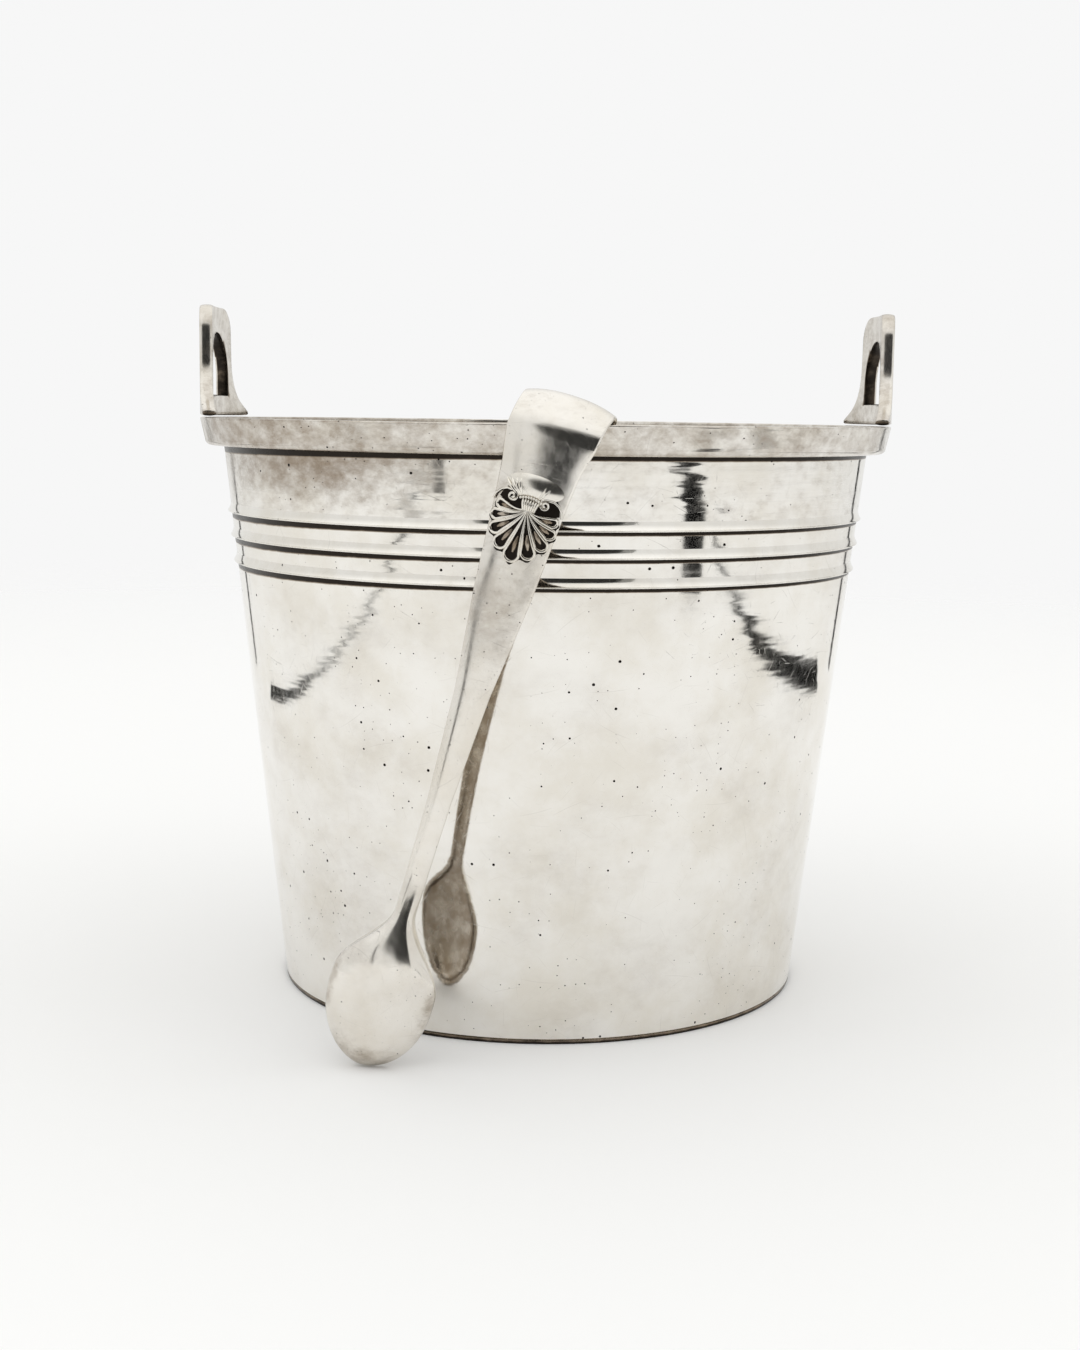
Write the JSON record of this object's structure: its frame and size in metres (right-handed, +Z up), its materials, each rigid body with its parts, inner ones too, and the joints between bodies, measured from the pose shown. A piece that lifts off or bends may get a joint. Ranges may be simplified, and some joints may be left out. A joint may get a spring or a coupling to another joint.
{
  "type": "champagne bucket",
  "caption": "Tapered silver champagne bucket with ring hoops and upright arched handles, and sprung ice tongs hooked over its rim.",
  "frame": {"origin": "middle of the base plate's flat underside, on the bucket's own axis", "axes": "+Z up the bucket's axis; the handles stand at -X and +X; the tongs hang over the rim at -Y"},
  "size_m": [0.2012, 0.2079, 0.1972],
  "materials": {
    "silver_body": "soft mirror polish with fine scratches, pits and a little warm tarnish",
    "silver_hoop": "polished lips with tarnish in the steps",
    "silver_handle": "worn polish, darker and brown inside the finger hole",
    "silver_tongs": "worn soft polish",
    "silver_shell": "cast ornament, bright on the ribs and oxidised in the hollows"
  },
  "bodies": {
    "bucket": {"bucket_wall": "silver_body", "base_plate": "silver_body", "rim_collar": "silver_body", "upper_hoop": "silver_hoop", "middle_hoop": "silver_hoop", "lower_hoop": "silver_hoop", "left_handle": "silver_handle", "right_handle": "silver_handle"},
    "tongs": {"tongs_bow": "silver_tongs"},
    "outer_arm_body": {"outer_arm": "silver_tongs", "outer_bowl": "silver_tongs", "outer_shell": "silver_shell"},
    "inner_arm_body": {"inner_arm": "silver_tongs", "inner_bowl": "silver_tongs", "inner_shell": "silver_shell"}
  },
  "joints": [
    {"name": "tongs_lift", "type": "slide", "parent": "bucket", "child": "tongs", "axis": [0, 0, 1], "range_m": [0, 0.19]},
    {"name": "outer_squeeze", "type": "hinge", "parent": "tongs", "child": "outer_arm_body", "pos_m": [0.00113, -0.10384, 0.16181], "axis": [0.9399, -0.1895, -0.284], "range_deg": [0, 7], "stiffness_Nm_per_rad": 2},
    {"name": "inner_squeeze", "type": "hinge", "parent": "tongs", "child": "inner_arm_body", "pos_m": [0.00501, -0.08754, 0.16378], "axis": [-0.9399, 0.1895, 0.284], "range_deg": [0, 7], "stiffness_Nm_per_rad": 2}
  ],
  "couplings": [
    {"joint": "inner_squeeze", "follows": "outer_squeeze", "ratio": 1}
  ]
}
